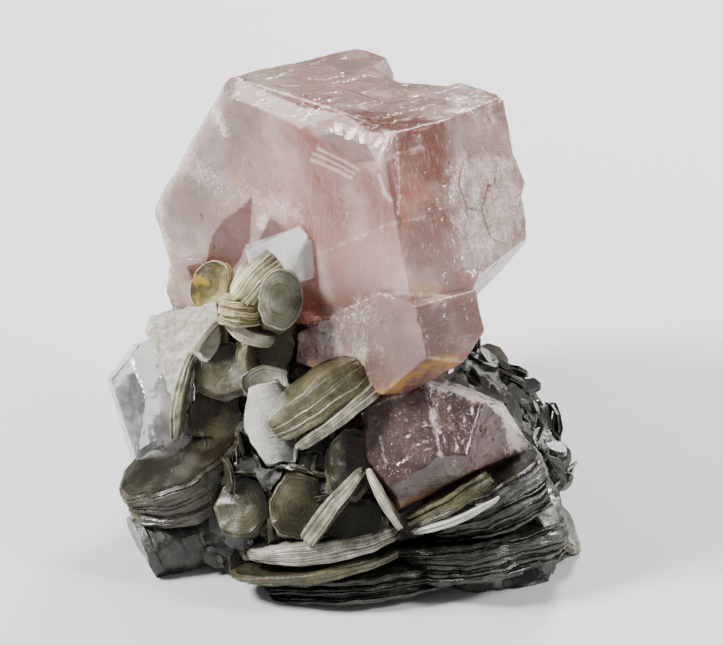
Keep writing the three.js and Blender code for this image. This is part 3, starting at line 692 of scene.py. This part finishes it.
MICA = {
    "mica_rosette_top": [
        book((-14, 23.5, 9.4), (-0.3, 0.0, 0.95), (0.5, 0.86, 0),
             6, 4.4, 1.3, 2, rounding=0.8, bow=0.16, light=0.44, rim=0.7, warm=0.88),
        book((-9.5, 24.2, 16.6), (-0.69, 0.7, 0.2), (0.72, 0.69, 0),
             6.6, 6, 2.2, 3, fan=12, rounding=0.9, bow=0.3, ledge=0.5, light=0.75, rim=0.8,
             warm=0.65),
        book((-8, 23.4, 16.8), (-0.6, 0.75, 0.3), (0.75, 0.62, 0),
             5.2, 3.8, 1.4, 9, fan=10, rounding=0.9, bow=0.25, ledge=0.5, light=0.6, rim=0.7,
             warm=1),
        book((-10.9, 21.2, 15.4), (0.05, 0.97, 0.25), (1, -0.15, 0),
             5.4, 6.4, 2.4, 4, rounding=0.8, bow=0.08, light=0.55, rim=0.7, warm=0.75),
        book((-7, 22, 19), (0.12, 0.1, 1), (0.15, 1, 0),
             6.8, 5, 1.3, 5, rounding=0.75, dome=0.1, light=0.36, rim=0.6, warm=0.35),
        book((-10, 18.6, 15.2), (0.37, 0.9, 0.25), (0.93, -0.37, 0),
             6, 3.6, 1.5, 6, rounding=0.9, bow=-0.14, taper=0.6, ledge=0.6, light=0.8, rim=0.8,
             warm=0.3),
        book((-7, 21.4, 15), (0.2, 0.15, 1), (0.3, 1, 0),
             6.4, 4.6, 4.4, 7, light=0.3, rim=0.5, warm=0.5),
        book((-8, 18.6, 11), (0.2, 0, 1), (0, 1, 0),
             9, 6, 3, 8, light=0.25, rim=0.4, warm=0.5),
    ],
    "mica_plate_round": [
        book((-12.4, 14.9, 12), (-0.1, 0.25, 0.96), (1, 0.05, 0),
             7.6, 6.6, 1.8, 2, rounding=0.55, dome=0.14, ledge=0.5, light=0.24, rim=0.5,
             warm=0.45),
        book((-14.5, 18.4, 10.2), (-0.3, 0.1, 0.95), (0.3, 1, 0),
             6.4, 5, 1.4, 3, rounding=0.7, light=0.42, rim=0.7, warm=0.6),
        book((-9.8, 16, 12), (0.62, 0, 0.78), (0, 1, 0),
             7.2, 3.8, 1.8, 4, light=0.3, rim=0.5, warm=0.6),
    ],
    "mica_blade_long": [
        book((-14.2, 18.7, 13), (0.76, -0.64, 0.1), (0.64, 0.76, 0),
             5, 3.2, 0.7, 2, rounding=0.8, bow=-0.1, light=0.6, rim=0.85, warm=0.45),
        book((-16.9, 12.4, 12.6), (0.97, -0.2, 0.15), (0.18, 0.98, 0),
             10, 4.4, 1.1, 3, rounding=0.8, bow=-0.06, taper=0.4, light=0.4, rim=0.65, warm=0.5),
        book((-13.6, 10.2, 11), (0.15, 0.3, 0.95), (0.2, 1, 0),
             7.2, 6.4, 2, 4, light=0.12, rim=0.3, warm=0.7),
    ],
    "mica_plate_hex": [
        book((-7.8, 9.6, 15.2), (-0.18, 0.1, 0.97), (-0.25, 1, 0),
             10, 6, 1.8, 5, rounding=0.1, ledge=0.5, light=0.62, rim=0.8, warm=0.12),
        book((-8.4, 13.6, 12.6), (0.1, 0.2, 1), (1, 0.2, 0),
             6, 4, 2, 6, light=0.5, rim=0.6, warm=0.3),
    ],
    "mica_book_feather": [
        book((-3.3, 12.4, 18.4), (-0.56, 0.8, 0.22), (0.82, 0.57, 0.05),
             12.4, 6.4, 3.6, 2, fan=3, rounding=0.9, bow=0.06, taper=0.45, ledge=0.2,
             light=0.3, rim=0.44, warm=0.65),
        book((-1.3, 10.3, 19.2), (-0.6, 0.78, 0.15), (0.78, 0.62, 0),
             11.4, 4.4, 1, 3, fan=3, rounding=0.8, ledge=0.3, light=0.35, rim=0.6, warm=0.35),
    ],
    "mica_rosette_left": [
        book((-16.6, 4.5, 11), (-0.34, 0.74, 0.58), (0.9, 0.42, 0),
             14.6, 10.5, 5, 3, fan=6, rounding=0.9, dome=0.12, taper=0.4, ledge=0.5, light=0,
             rim=0.16, warm=0.6),
        book((-13, 6.6, 9), (-0.1, 0.7, 0.7), (0.9, 0.3, 0),
             11, 8, 3, 5, rounding=0.6, light=0.25, rim=0.35, warm=0.5),
    ],
    "mica_book_lower_left": [
        book((-16.2, -1.2, 7.2), (0.91, 0.38, -0.1), (-0.3, 0.94, 0.1),
             8.4, 10.5, 10.5, 4, rounding=0.55, ledge=0.3, light=0.12, rim=0.16, warm=0.12),
    ],
    "mica_plates_front": [
        book((-10.7, 1.2, 14.6), (-0.2, 0.15, 1), (0.1, 1, 0),
             7, 6, 2.6, 3, rounding=0.4, dome=0.2, ledge=0.4, light=0.1, rim=0.34, warm=0.5),
        book((-5.4, 1.4, 15.8), (0.12, 0.1, 1), (0.2, 1, 0),
             7.8, 6, 2.6, 4, rounding=0.35, dome=0.2, ledge=0.4, light=0.16, rim=0.4, warm=0.6),
        book((0, 5.5, 16.6), (0.1, 0.2, 1), (0.2, 1, 0),
             8.6, 6, 2.2, 5, light=0.15, rim=0.35, warm=0.4),
    ],
    "mica_tent": [
        book((-1.5, 1.6, 19), (0.77, -0.63, 0.1), (0.63, 0.77, 0),
             10.4, 5, 1.2, 2, fan=-5, rounding=0.7, taper=0.5, ledge=0.35, light=0.45, rim=0.6,
             warm=0.4),
        book((3.4, 2.2, 19.6), (0.87, 0.48, 0.1), (0.48, -0.87, 0),
             7.8, 5, 0.8, 3, rounding=0.7, taper=0.4, ledge=0.35, light=0.5, rim=0.8, warm=0.3),
        book((0.6, 0.2, 16.8), (0, 0.25, 1), (1, 0, 0),
             8, 6.4, 1.6, 4, rounding=0.3, light=0.02, rim=0.12, warm=0.4),
    ],
    "mica_stack_front": [
        book((-2.6, -2.5, 15.4), (-0.16, 0.96, 0.2), (0.97, 0.16, 0),
             17.4, 8, 1.8, 3, fan=2, rounding=0.7, bow=-0.05, taper=0.6, ledge=0.35, light=0.5,
             rim=0.6, warm=0.25),
        book((-3.4, -4.6, 14.4), (-0.14, 0.96, 0.25), (0.98, 0.14, 0),
             19, 9, 1.2, 6, rounding=0.7, bow=-0.05, taper=0.5, ledge=0.3, light=0.2, rim=0.34,
             warm=0.6),
        book((1.6, -5.4, 11.8), (-0.1, 0.95, 0.3), (0.98, 0.1, 0),
             23, 12, 2.8, 4, rounding=0.5, ledge=0.8, light=0.03, rim=0.1, warm=0.2),
    ],
    "mica_column_right": [
        book((18.9, 1.6, 12.6), (0.55, 0.1, 0.84), (-0.2, 1, 0),
             6.4, 4, 3, 3, light=0.3, rim=0.4, warm=0.2),
    ],
    "mica_books_right": [
        book((9.9, 2, 17.4), (-0.5, 0.86, 0.1), (0.86, 0.5, 0),
             11, 5, 1.9, 7, rounding=0.5, ledge=0.6, light=0.12, rim=0.24, warm=0.7),
        book((10.6, 0.3, 18.8), (-0.38, 0.92, 0.1), (0.92, 0.38, 0),
             10.4, 3.4, 0.7, 2, rounding=0.8, bow=-0.08, taper=0.5, ledge=0.3, light=0.75,
             rim=0.85, warm=0.15),
        book((13.4, 2.4, 13.4), (-0.32, 0.88, 0.34), (0.94, 0.33, 0),
             16, 12, 4, 3, fan=6, rounding=0.5, ledge=0.7, light=0.03, rim=0.1, warm=0.25),
        book((12.6, -2.6, 11.4), (-0.14, 0.94, 0.3), (0.98, 0.14, 0),
             21, 14, 4, 5, rounding=0.5, ledge=0.8, light=0.05, rim=0.14, warm=0.2),
    ],
    "mica_wedge_right": [
        book((20, -1.4, 7), (0.8, 0.5, 0.3), (-0.5, 0.86, 0),
             8.4, 6.4, 3.4, 4, fan=10, light=0.3, rim=0.4, warm=0.35),
    ],
    "mica_fan_back_right": [
        book(drawn(14.5, 9.5, 7), drawn(0.55, 0.45, 0.7), drawn(0.6, -0.8, 0),
             13, 10, 4.2, 2, fan=6, rounding=0.7, dome=0.08, ledge=0.6, light=0.12, rim=0.3,
             warm=0.3),
        book(drawn(8, 13.5, 11), drawn(0.3, 0.75, 0.55), drawn(1, -0.4, 0),
             9, 7.4, 3, 3, rounding=0.8, ledge=0.6, light=0.14, rim=0.3, warm=0.4),
        book(drawn(18.6, 1.5, 6.5), drawn(0.75, 0.1, 0.65), drawn(0, 1, 0),
             11, 6, 3, 6, rounding=0.7, ledge=0.6, light=0.12, rim=0.3, warm=0.3),
    ],
    "mica_fan_back_left": [
        book(drawn(-12, 12.5, 6.5), drawn(-0.5, 0.5, 0.7), drawn(0.8, 0.6, 0),
             14, 11, 4, 4, fan=6, rounding=0.8, dome=0.08, ledge=0.6, light=0.1, rim=0.28,
             warm=0.5),
    ],
    "mica_book_back_left": [
        book(drawn(-13.5, 11, 14), drawn(-0.7, 0.55, 0.4), drawn(0.4, 0.6, 0.6),
             9, 7, 2.8, 6, rounding=0.8, ledge=0.6, light=0.2, rim=0.4, warm=0.5),
    ],
    "mica_books_back": [
        book(drawn(3, 16, 4.6), drawn(0.1, 0.3, 0.95), drawn(1, 0, 0),
             17, 9, 4, 2, rounding=0.7, ledge=0.7, light=0.08, rim=0.24, warm=0.35),
    ],
    "mica_book_back_upper": [
        book(drawn(-2.5, 17, 12.5), drawn(-0.15, 0.88, 0.42), drawn(1, 0.1, 0.2),
             11, 8, 3, 5, rounding=0.8, ledge=0.6, light=0.16, rim=0.34, warm=0.5),
        book(drawn(2.5, 17, 14.6), drawn(0.25, 0.7, 0.6), drawn(0.9, -0.2, 0.3),
             8, 5, 2.4, 7, rounding=0.7, ledge=0.6, light=0.14, rim=0.34, warm=0.4),
    ],
}
SHEET = 0.085  # height of one ledge on the side of a book, in millimetres
RIM = 64  # points round a book
CORNERS = 6
CAP_RINGS = (0.95, 0.8, 0.6, 0.38, 0.16)
FLOOR = 0.02
TONES = ("light", "rim", "warm", "level", "zone")


def hold(point):
    """Keeps a point above the surface that the specimen stands on, and in its box."""
    low, high = cad_bounds
    return Vector((min(max(point.x, low[0] / MM), high[0] / MM),
                   min(max(point.y, low[1] / MM), high[1] / MM),
                   min(max(point.z, FLOOR), high[2] / MM)))


def outline_point(angle, spec):
    """A point of a book's outline, between six ragged corners and an oval."""
    turn = 2 * math.pi / CORNERS
    k = (angle / turn - 0.5) % CORNERS
    corners = []
    for n in (int(k), int(k) + 1):
        a = (n + 0.5) * turn
        ragged = 1 + 0.06 * math.sin(3.7 * (n % CORNERS) + 1.9 * spec["seed"])
        corners.append(Vector((math.cos(a), math.sin(a))) * ragged)
    straight = corners[0].lerp(corners[1], k - int(k))
    oval = Vector((math.cos(angle), math.sin(angle))) * 0.95
    point = straight.lerp(oval, spec["rounding"])
    return point.x * spec["length"] / 2, point.y * spec["width"] / 2


def bent(x, y, height, spec):
    """A point of a flat book after it is fanned, tapered, bowed and domed."""
    length, width, fan = spec["length"], spec["width"], spec["fan"]
    far_x, far_y = 2 * x / length, 2 * y / width
    z = height * (1 - spec["taper"] * min(1, far_x * far_x))
    reach = x + length / 2 if fan >= 0 else length / 2 - x
    z += height / spec["thick"] * math.radians(abs(fan)) * reach
    waves = Vector((x * 0.32, y * 0.32, height * 0.55 + spec["seed"] * 4))
    z += min(0.3, 0.12 * spec["thick"]) * turbulence(waves, 1.0, 65, 3)
    z -= spec["bow"] * length * far_x * far_x / 2
    z -= spec["dome"] * width * (far_x * far_x + far_y * far_y) / 4
    return Vector((x, y, z))


def add_ring(bm, tones, placed, spec, ledge, share, height):
    """One ring of points round a book. A ledge has its own size, place and turn."""
    size, shift_x, shift_y, turned = ledge
    ring = []
    for n in range(RIM):
        angle = 2 * math.pi * n / RIM
        x, y = outline_point(angle + turned, spec)
        on_edge = Vector((x, y, height * 0.5 + spec["seed"] * 9))
        torn = 1 - 0.09 * spec["ledge"] * abs(turbulence(on_edge, 2.0, 61, 4))
        torn -= 0.16 * spec["ledge"] * smooth(turbulence(on_edge, 3.4, 62, 2), 0.15, 0.7)
        nicks = turbulence(Vector((angle * 12, height * 6, spec["seed"])), 1, 63, 2)
        torn -= 0.02 * spec["ledge"] * nicks
        reach = size * torn * share
        lift = 0.0
        if share < 1:
            steps = turbulence(Vector((x * reach, y * reach, spec["seed"] * 5)), 1.8, 64, 3)
            lift = 0.06 * math.floor(steps * 5) / 5 * math.copysign(1, height)
        point = bent(x * reach + shift_x, y * reach + shift_y, height, spec)
        vert = bm.verts.new(hold(placed @ (point + Vector((0, 0, lift)))))
        slope = 1 + 0.7 * share * math.cos(angle + spec["seed"])
        vert[tones["light"]] = spec["light"] * slope + 0.03 * (1 - share)
        vert[tones["rim"]] = spec["rim"]
        vert[tones["warm"]] = spec["warm"]
        vert[tones["level"]] = height + spec["seed"] * 3
        vert[tones["zone"]] = share * spec["length"] / 2 + spec["seed"] * 7
        ring.append(vert)
    return ring


def new_ledge(rng, spec):
    """The size, the shift in millimetres and the turn of the next sheets of a book."""
    size = 1 - spec["ledge"] * rng.uniform(0.0, 0.14)
    room = (1 - size) / 2
    return (size, rng.uniform(-room, room) * spec["length"],
            rng.uniform(-room, room) * spec["width"], math.radians(rng.uniform(-5, 5)))


def bridge(bm, lower, upper, material):
    """Faces between two rings of points."""
    for n in range(RIM):
        m = (n + 1) % RIM
        face = bm.faces.new((lower[n], lower[m], upper[m], upper[n]))
        face.material_index = material


def add_book(bm, tones, spec, name):
    """A book of mica: thin sheets as fine ledges on its side, and two cleavage faces."""
    normal = seen(spec["face"]).normalized()
    lengthways = seen(spec["along"])
    lengthways = (lengthways - normal * lengthways.dot(normal)).normalized()
    sideways = normal.cross(lengthways)
    axes = Matrix((lengthways, sideways, normal)).transposed().to_4x4()
    placed = Matrix.Translation(seen(spec["at"]) + STAND) @ axes
    rng = random.Random(f"{name} {spec['seed']}")
    thick = spec["thick"]
    count = min(46, max(7, round(thick / SHEET)))
    rings = []
    group = new_ledge(rng, spec)
    for n in range(count + 1):
        t = n / count
        if rng.random() < 0.24:
            group = new_ledge(rng, spec)
        gap = 0.05 if rng.random() < 0.14 else 0.0
        fine = 1 - spec["ledge"] * (rng.uniform(0.0, 0.018) + gap)
        ledge = (group[0] * fine * (1 - 0.05 * abs(2 * t - 1) ** 6), *group[1:])
        rings.append(add_ring(bm, tones, placed, spec, ledge, 1.0, thick * (t - 0.5)))
        if n in (0, count):
            cap = [rings[-1]]
            for share in CAP_RINGS:
                cap.append(add_ring(bm, tones, placed, spec, ledge, share, thick * (t - 0.5)))
            for outer, inner in zip(cap, cap[1:]):
                bridge(bm, *((outer, inner) if n else (inner, outer)), 0)
            bm.faces.new(cap[-1] if n else cap[-1][::-1])
    for lower, upper in zip(rings, rings[1:]):
        bridge(bm, lower, upper, 1)


def mica_books(node, books, materials, slot):
    """The books of one node, as one mesh."""
    bm = bmesh.new()
    tones = {tone: bm.verts.layers.float.new(tone) for tone in TONES}
    for spec in books:
        add_book(bm, tones, spec, node)
    name = node.replace("mica_", "sheets_")
    mesh = bpy.data.meshes.new(name)
    bm.to_mesh(mesh)
    bm.free()
    mesh.transform(Matrix.Scale(MM, 4))
    for material in materials:
        mesh.materials.append(material)
    mesh.shade_smooth()
    mesh.set_sharp_from_angle(angle=math.radians(32))
    return add_object(name, mesh, node, slot=slot)


PALE_BOOKS = ("mica_rosette_top", "mica_plate_round", "mica_blade_long", "mica_plate_hex",
              "mica_book_feather", "mica_tent")
mica = (mica_face_material(), mica_edge_material())
for node, books in MICA.items():
    mica_books(node, books, mica, "mica_pale" if node in PALE_BOOKS else "mica_dark")


# Matrix: a rough mass with small flakes on it

def rock():
    bm = refined("matrix_rock", 0.7)
    for vert in bm.verts:
        rough = turbulence(vert.co, 2.2, 41, 6)
        sharp_bumps = abs(turbulence(vert.co, 1.0, 42, 4))
        height = 0.5 * rough - 0.5 * sharp_bumps
        if vert.co.z < 0.05:
            height = 0.0
        vert.co += vert.normal * min(0.25, height)
        vert.co = hold(vert.co)
    bm.normal_update()
    mesh = bpy.data.meshes.new("rock_rough")
    bm.to_mesh(mesh)
    bm.free()
    mesh.transform(Matrix.Scale(MM, 4))
    mesh.materials.append(rock_material())
    return add_object("rock_rough", mesh, "matrix_rock", slot="matrix")


FLAKE_CORNERS = 8
FLAKE_LEAN = 0.22  # spread of the flakes' directions round that of the rock's surface
FLAKE_STEP = 0.14  # from one flake of a small book to the next, in millimetres
FLAKE_THICK = 0.12
FLAKE_SUNK = 0.3


def flakes(count, name, sizes, materials):
    """Small ragged books of flakes, half sunk in the matrix."""
    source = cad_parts["matrix_rock"].data
    rng = random.Random(5)
    areas = np.cumsum([p.area for p in source.polygons])
    bm = bmesh.new()
    tones = {tone: bm.verts.layers.float.new(tone) for tone in TONES}
    for _ in range(count):
        polygon = source.polygons[int(np.searchsorted(areas, rng.random() * areas[-1]))]
        if polygon.normal.z < -0.9:
            continue
        corners = [source.vertices[v].co for v in polygon.vertices[:3]]
        u, v = sorted((rng.random(), rng.random()))
        at = (corners[0] * u + corners[1] * (v - u) + corners[2] * (1 - v)) / MM
        lean = Vector((rng.gauss(0, 1), rng.gauss(0, 1), rng.gauss(0, 1))) * FLAKE_LEAN
        facing = (polygon.normal + lean).normalized()
        radius = sizes[0] + (sizes[1] - sizes[0]) * rng.random() ** 2
        turn = facing.to_track_quat("Z", "X").to_matrix().to_4x4()
        turn = Matrix.Translation(at) @ turn @ Matrix.Rotation(rng.uniform(0, 6.28), 4, "Z")
        light, warm = 0.3 * rng.random() ** 3, rng.uniform(0.0, 0.5)
        for layer in range(rng.choice((2, 3, 4))):
            reach = radius * rng.uniform(0.75, 1.0)
            low = FLAKE_STEP * layer - FLAKE_SUNK
            high = low + FLAKE_THICK
            ring = []
            for k in range(FLAKE_CORNERS):
                angle = k * 2 * math.pi / FLAKE_CORNERS
                far = reach * rng.uniform(0.84, 1.06)
                ring.append((far * math.cos(angle), far * math.sin(angle)))
            lower = [bm.verts.new(hold(turn @ Vector((x, y, low)))) for x, y in ring]
            upper = [bm.verts.new(hold(turn @ Vector((x, y, high)))) for x, y in ring]
            for vert in lower + upper:
                vert[tones["light"]], vert[tones["rim"]] = light, light + 0.2
                vert[tones["warm"]], vert[tones["level"]] = warm, light * 9 + layer
            bm.faces.new(upper)
            bm.faces.new(lower[::-1])
            for k in range(FLAKE_CORNERS):
                m = (k + 1) % FLAKE_CORNERS
                side = bm.faces.new([lower[k], lower[m], upper[m], upper[k]])
                side.material_index = 1
    mesh = bpy.data.meshes.new(name)
    bm.to_mesh(mesh)
    bm.free()
    mesh.transform(Matrix.Scale(MM, 4))
    for material in materials:
        mesh.materials.append(material)
    return add_object(name, mesh, slot="mica_dark")


rock()
flakes(2200, "flakes_small", (0.5, 2.4), mica)

# Floor, light and camera

def area_light(name, at, size, power, target=Vector((0, 0, 0.02))):
    lamp = bpy.data.lights.new(name, "AREA")
    lamp.shape = "DISK"
    lamp.size = size
    lamp.energy = power
    holder = bpy.data.objects.new(name, lamp)
    holder.location = at
    holder.rotation_euler = (target - Vector(at)).to_track_quat("-Z", "Y").to_euler()
    bpy.context.scene.collection.objects.link(holder)


floor_mesh = bpy.data.meshes.new("floor")
floor_mesh.from_pydata([(-3, -3, 0), (3, -3, 0), (3, 3, 0), (-3, 3, 0)], [], [(0, 1, 2, 3)])
floor = bpy.data.objects.new("floor", floor_mesh)
bpy.context.scene.collection.objects.link(floor)
paper = Shader("floor_paper")
paper.set(Base_Color=rgb(206, 206, 206), Roughness=0.8)
floor_mesh.materials.append(paper.material)
floor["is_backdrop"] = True

world = bpy.data.worlds.new("studio")
world.use_nodes = True
world.node_tree.nodes["Background"].inputs["Color"].default_value = (0.85, 0.86, 0.88, 1)
world.node_tree.nodes["Background"].inputs["Strength"].default_value = 0.3
bpy.context.scene.world = world
area_light("light_key", (-0.25, -0.04, 0.27), 0.09, 3.1)
area_light("light_right", (0.27, -0.06, 0.2), 0.08, 1.3)
area_light("light_back", (0.08, 0.24, 0.2), 0.1, 1.6)

# The camera looks at the middle of the drawing from far off, 30 degrees above level.
EYE_DISTANCE = 700
SHOWN_WIDTH = 72.3  # millimetres across the picture
camera_data = bpy.data.cameras.new("camera")
camera_data.sensor_width = 36
camera_data.lens = camera_data.sensor_width * EYE_DISTANCE / SHOWN_WIDTH
camera_data.clip_end = 10
camera = bpy.data.objects.new("camera", camera_data)
camera.location = place((1.15, 19.75, 14 + EYE_DISTANCE))
camera.rotation_euler = (-NEAR).to_track_quat("-Z", "Y").to_euler()
bpy.context.scene.collection.objects.link(camera)
bpy.context.scene.camera = camera

boxes = {"cad": cad_bounds, "visual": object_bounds()}
